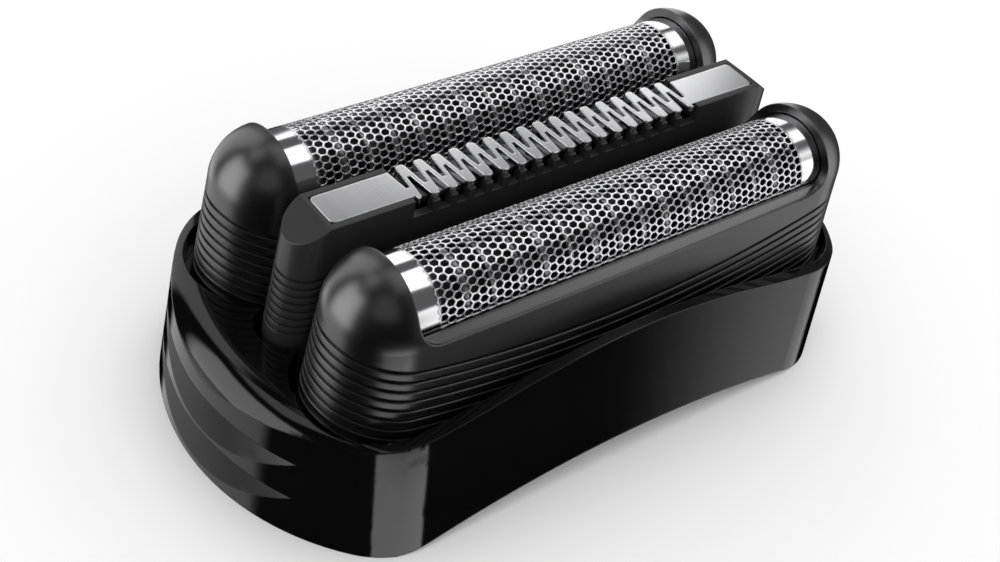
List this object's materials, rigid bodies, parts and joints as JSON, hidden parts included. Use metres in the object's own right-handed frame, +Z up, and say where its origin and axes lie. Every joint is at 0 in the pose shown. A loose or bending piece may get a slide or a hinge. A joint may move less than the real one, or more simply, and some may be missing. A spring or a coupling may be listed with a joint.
{
  "type": "shaver foil head",
  "caption": "Clip-on shaver foil head: gloss saddle shell, sprung perforated foil units either side of a toothed trimmer, cutters swung by a drive bridge.",
  "frame": {"origin": "centre of the bounding box at the resting edge of the two end skirts", "axes": "+X along the foils, +Y across them towards the rear unit, +Z up out of the foils"},
  "size_m": [0.0554, 0.0292, 0.0205],
  "materials": {
    "gloss_shell": "high gloss",
    "satin_carrier": "satin",
    "inner_plastic": "moulded",
    "foil_nickel": "bright nickel",
    "comb_steel": "polished",
    "blade_steel": "ground",
    "spring_steel": "drawn wire"
  },
  "bodies": {
    "shell": {"outer_frame": "gloss_shell", "inner_chassis": "inner_plastic", "front_spring_left": "spring_steel", "front_spring_right": "spring_steel", "trimmer_spring_left": "spring_steel", "trimmer_spring_right": "spring_steel", "rear_spring_left": "spring_steel", "rear_spring_right": "spring_steel"},
    "front_unit": {"front_carrier": "satin_carrier", "front_foil": "foil_nickel"},
    "rear_unit": {"rear_carrier": "satin_carrier", "rear_foil": "foil_nickel"},
    "trimmer_unit": {"trimmer_housing": "satin_carrier", "trimmer_comb": "comb_steel"},
    "drive": {"drive_bridge": "inner_plastic"},
    "front_cutter_body": {"front_cutter_holder": "inner_plastic", "front_cutter_blades": "blade_steel"},
    "rear_cutter_body": {"rear_cutter_holder": "inner_plastic", "rear_cutter_blades": "blade_steel"},
    "trimmer_cutter_body": {"trimmer_slider": "inner_plastic", "trimmer_cutter": "blade_steel"}
  },
  "joints": [
    {"name": "front_float", "type": "slide", "parent": "shell", "child": "front_unit", "axis": [0, 0, 1], "range_m": [-0.002, 0], "stiffness_N_per_m": 600, "springref_m": 0.0002, "deforming": ["front_spring_left", "front_spring_right"]},
    {"name": "trimmer_float", "type": "slide", "parent": "shell", "child": "trimmer_unit", "axis": [0, 0, 1], "range_m": [-0.002, 0], "stiffness_N_per_m": 600, "springref_m": 0.0002, "deforming": ["trimmer_spring_left", "trimmer_spring_right"]},
    {"name": "rear_float", "type": "slide", "parent": "shell", "child": "rear_unit", "axis": [0, 0, 1], "range_m": [-0.002, 0], "stiffness_N_per_m": 600, "springref_m": 0.0002, "deforming": ["rear_spring_left", "rear_spring_right"]},
    {"name": "drive_swing", "type": "slide", "parent": "shell", "child": "drive", "axis": [1, 0, 0], "range_m": [-0.001, 0.001]},
    {"name": "front_cutter_swing", "type": "slide", "parent": "front_unit", "child": "front_cutter_body", "axis": [1, 0, 0], "range_m": [-0.001, 0.001]},
    {"name": "trimmer_cutter_swing", "type": "slide", "parent": "trimmer_unit", "child": "trimmer_cutter_body", "axis": [1, 0, 0], "range_m": [-0.001, 0.001]},
    {"name": "rear_cutter_swing", "type": "slide", "parent": "rear_unit", "child": "rear_cutter_body", "axis": [1, 0, 0], "range_m": [-0.001, 0.001]}
  ],
  "couplings": [
    {"joint": "front_cutter_swing", "follows": "drive_swing", "ratio": 1},
    {"joint": "trimmer_cutter_swing", "follows": "drive_swing", "ratio": 1},
    {"joint": "rear_cutter_swing", "follows": "drive_swing", "ratio": 1}
  ]
}
